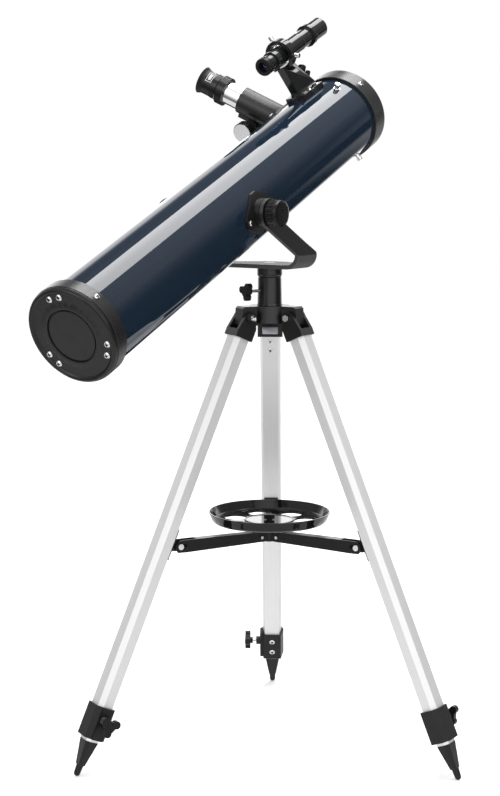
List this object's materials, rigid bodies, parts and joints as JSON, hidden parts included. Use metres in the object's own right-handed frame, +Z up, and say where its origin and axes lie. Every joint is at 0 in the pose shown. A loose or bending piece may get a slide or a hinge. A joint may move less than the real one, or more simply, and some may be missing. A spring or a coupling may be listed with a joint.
{
  "type": "newtonian reflector telescope",
  "caption": "Newtonian reflector on a folding aluminium tripod: tube with side focuser and finder, held by two yoke arms on an upright pivot, with an accessory tray between the legs.",
  "frame": {"origin": "middle of the overall footprint, on the floor under the feet", "axes": "+Z up; +Y towards the rear leg; +X to the right seen from behind the eyepiece end of the stand; at rest the tube's front points 31 degrees from +Y towards +X and 23 degrees above the horizon"},
  "size_m": [0.5262, 0.6948, 0.9981],
  "materials": {
    "tube_enamel": "glossy dark navy enamel",
    "black_satin": "satin",
    "black_matte": "matt black",
    "mirror_coat": "front-silvered glass",
    "screw_chrome": "bright plated",
    "black_gloss": "gloss",
    "steel_shaft": "turned",
    "knob_black": "satin moulded",
    "eyepiece_black": "black anodised",
    "soft_rubber": "soft matt",
    "lens_glass": "coated",
    "yoke_paint": "satin dark grey powder coat",
    "head_paint": "satin black",
    "leg_aluminium": "satin anodised",
    "black_moulding": "satin moulded",
    "arm_paint": "satin black"
  },
  "bodies": {
    "stand": {"tripod_head": "head_paint", "hinge_bolts": "screw_chrome"},
    "yoke": {"yoke_bracket": "yoke_paint", "azimuth_post": "head_paint"},
    "tube": {"optical_tube": "tube_enamel", "tube_end_rings": "black_satin", "rear_cell": "black_satin", "mirror_cell": "black_matte", "primary_mirror": "mirror_coat", "collimation_screws": "screw_chrome", "tube_screws": "screw_chrome", "spider": "black_matte", "spider_hardware": "screw_chrome", "secondary_holder": "black_matte", "secondary_mirror": "mirror_coat", "altitude_plates": "black_satin", "focuser_housing": "black_gloss", "pinion_cover": "black_gloss", "finder_tube": "black_gloss", "finder_lenses": "lens_glass", "finder_bracket": "black_gloss", "finder_screws": "screw_chrome"},
    "focus_shaft": {"focus_pinion": "steel_shaft", "focus_knobs": "knob_black"},
    "draw": {"drawtube": "black_gloss"},
    "eyepiece": {"eyepiece_barrel": "screw_chrome", "eyepiece_body": "eyepiece_black", "eyecup": "soft_rubber", "eyepiece_lenses": "lens_glass"},
    "finder_eye": {"finder_eyepiece": "knob_black"},
    "altitude_clamp_right": {"altitude_knob_right": "knob_black"},
    "altitude_clamp_left": {"altitude_knob_left": "knob_black"},
    "azimuth_clamp": {"azimuth_lock_knob": "knob_black"},
    "spreader": {"spreader_hub": "black_moulding", "tray": "black_gloss"},
    "tray_nut": {"tray_knob": "knob_black"},
    "leg_rear": {"leg_cap_rear": "black_moulding", "upper_leg_rear": "leg_aluminium", "leg_collar_rear": "black_moulding", "spreader_bracket_rear": "black_moulding"},
    "extension_rear": {"lower_leg_rear": "leg_aluminium", "foot_rear": "black_moulding"},
    "clamp_rear": {"leg_lock_knob_rear": "knob_black"},
    "arm_rear": {"spreader_arm_rear": "arm_paint"},
    "leg_left": {"leg_cap_left": "black_moulding", "upper_leg_left": "leg_aluminium", "leg_collar_left": "black_moulding", "spreader_bracket_left": "black_moulding"},
    "extension_left": {"lower_leg_left": "leg_aluminium", "foot_left": "black_moulding"},
    "clamp_left": {"leg_lock_knob_left": "knob_black"},
    "arm_left": {"spreader_arm_left": "arm_paint"},
    "leg_right": {"leg_cap_right": "black_moulding", "upper_leg_right": "leg_aluminium", "leg_collar_right": "black_moulding", "spreader_bracket_right": "black_moulding"},
    "extension_right": {"lower_leg_right": "leg_aluminium", "foot_right": "black_moulding"},
    "clamp_right": {"leg_lock_knob_right": "knob_black"},
    "arm_right": {"spreader_arm_right": "arm_paint"}
  },
  "joints": [
    {"name": "azimuth", "type": "hinge", "parent": "stand", "child": "yoke", "pos_m": [0.00928, 0.05498, 0.6462], "axis": [0, 0, 1], "continuous": true},
    {"name": "altitude", "type": "hinge", "parent": "yoke", "child": "tube", "pos_m": [-0.04943, -0.04274, 0.7352], "axis": [0.8572, -0.515, 0], "range_deg": [-23, 47]},
    {"name": "altitude_knob_turn_right", "type": "hinge", "parent": "tube", "child": "altitude_clamp_right", "pos_m": [0.01914, -0.08395, 0.7352], "axis": [0.8572, -0.515, 0], "range_deg": [0, 360]},
    {"name": "altitude_knob_turn_left", "type": "hinge", "parent": "tube", "child": "altitude_clamp_left", "pos_m": [-0.118, -0.00154, 0.7352], "axis": [-0.8572, 0.515, 0], "range_deg": [0, 360]},
    {"name": "azimuth_lock_turn", "type": "hinge", "parent": "stand", "child": "azimuth_clamp", "pos_m": [-0.02125, 0.0359, 0.6282], "axis": [-0.848, -0.5299, 0], "range_deg": [0, 360]},
    {"name": "focus_turn", "type": "hinge", "parent": "tube", "child": "focus_shaft", "pos_m": [-0.0133, 0.19528, 0.85309], "axis": [-0.4741, -0.789, -0.3907], "range_deg": [0, 470]},
    {"name": "drawtube_slide", "type": "slide", "parent": "tube", "child": "draw", "axis": [-0.8513, 0.2975, 0.4322], "range_m": [0, 0.0396]},
    {"name": "eyepiece_slide", "type": "slide", "parent": "draw", "child": "eyepiece", "axis": [-0.8513, 0.2975, 0.4322], "range_m": [-0.012, 0.01]},
    {"name": "finder_focus_turn", "type": "hinge", "parent": "tube", "child": "finder_eye", "pos_m": [0.00168, 0.08423, 0.92556], "axis": [0.4741, 0.789, 0.3907], "range_deg": [0, 300]},
    {"name": "leg_fold_rear", "type": "hinge", "parent": "stand", "child": "leg_rear", "pos_m": [0.00928, 0.09177, 0.5937], "axis": [-1, 0, 0], "range_deg": [0, 5]},
    {"name": "leg_fold_left", "type": "hinge", "parent": "stand", "child": "leg_left", "pos_m": [-0.02259, 0.03658, 0.5937], "axis": [0.5, -0.866, 0], "range_deg": [0, 5.1]},
    {"name": "leg_fold_right", "type": "hinge", "parent": "stand", "child": "leg_right", "pos_m": [0.04115, 0.03658, 0.5937], "axis": [0.5, 0.866, 0], "range_deg": [0, 5.1]},
    {"name": "spreader_lift", "type": "slide", "parent": "stand", "child": "spreader", "axis": [0, 0, 1], "range_m": [0, 0.069]},
    {"name": "tray_knob_turn", "type": "hinge", "parent": "spreader", "child": "tray_nut", "pos_m": [0.00928, 0.05498, 0.3182], "axis": [0, 0, 1], "range_deg": [0, 720]},
    {"name": "arm_swing_rear", "type": "hinge", "parent": "spreader", "child": "arm_rear", "pos_m": [0.00928, 0.07028, 0.2922], "axis": [-1, 0, 0], "range_deg": [0, 38.8]},
    {"name": "arm_swing_left", "type": "hinge", "parent": "spreader", "child": "arm_left", "pos_m": [-0.00397, 0.04732, 0.2922], "axis": [0.5, -0.866, 0], "range_deg": [0, 38.8]},
    {"name": "arm_swing_right", "type": "hinge", "parent": "spreader", "child": "arm_right", "pos_m": [0.02253, 0.04732, 0.2922], "axis": [0.5, 0.866, 0], "range_deg": [0, 38.8]},
    {"name": "leg_length_rear", "type": "slide", "parent": "leg_rear", "child": "extension_rear", "axis": [0, 0.392, -0.92], "range_m": [0, 0.4]},
    {"name": "leg_length_left", "type": "slide", "parent": "leg_left", "child": "extension_left", "axis": [-0.3395, -0.196, -0.92], "range_m": [0, 0.4]},
    {"name": "leg_length_right", "type": "slide", "parent": "leg_right", "child": "extension_right", "axis": [0.3395, -0.196, -0.92], "range_m": [0, 0.4]},
    {"name": "leg_lock_turn_rear", "type": "hinge", "parent": "leg_rear", "child": "clamp_rear", "pos_m": [-0.02672, 0.31272, 0.07262], "axis": [-1, 0, 0], "range_deg": [0, 360]},
    {"name": "leg_lock_turn_left", "type": "hinge", "parent": "leg_left", "child": "clamp_left", "pos_m": [-0.19593, -0.10508, 0.07262], "axis": [0.5, -0.866, 0], "range_deg": [0, 360]},
    {"name": "leg_lock_turn_right", "type": "hinge", "parent": "leg_right", "child": "clamp_right", "pos_m": [0.2505, -0.04272, 0.07262], "axis": [0.5, 0.866, 0], "range_deg": [0, 360]}
  ],
  "couplings": [
    {"joint": "drawtube_slide", "follows": "focus_turn", "m_per_rad": 0.0048},
    {"joint": "leg_fold_left", "follows": "leg_fold_rear", "ratio": 1},
    {"joint": "leg_fold_right", "follows": "leg_fold_rear", "ratio": 1},
    {"joint": "spreader_lift", "follows": "leg_fold_rear", "m_per_rad": 0.7872},
    {"joint": "arm_swing_rear", "follows": "leg_fold_rear", "ratio": 7.698},
    {"joint": "arm_swing_left", "follows": "leg_fold_rear", "ratio": 7.698},
    {"joint": "arm_swing_right", "follows": "leg_fold_rear", "ratio": 7.698}
  ]
}
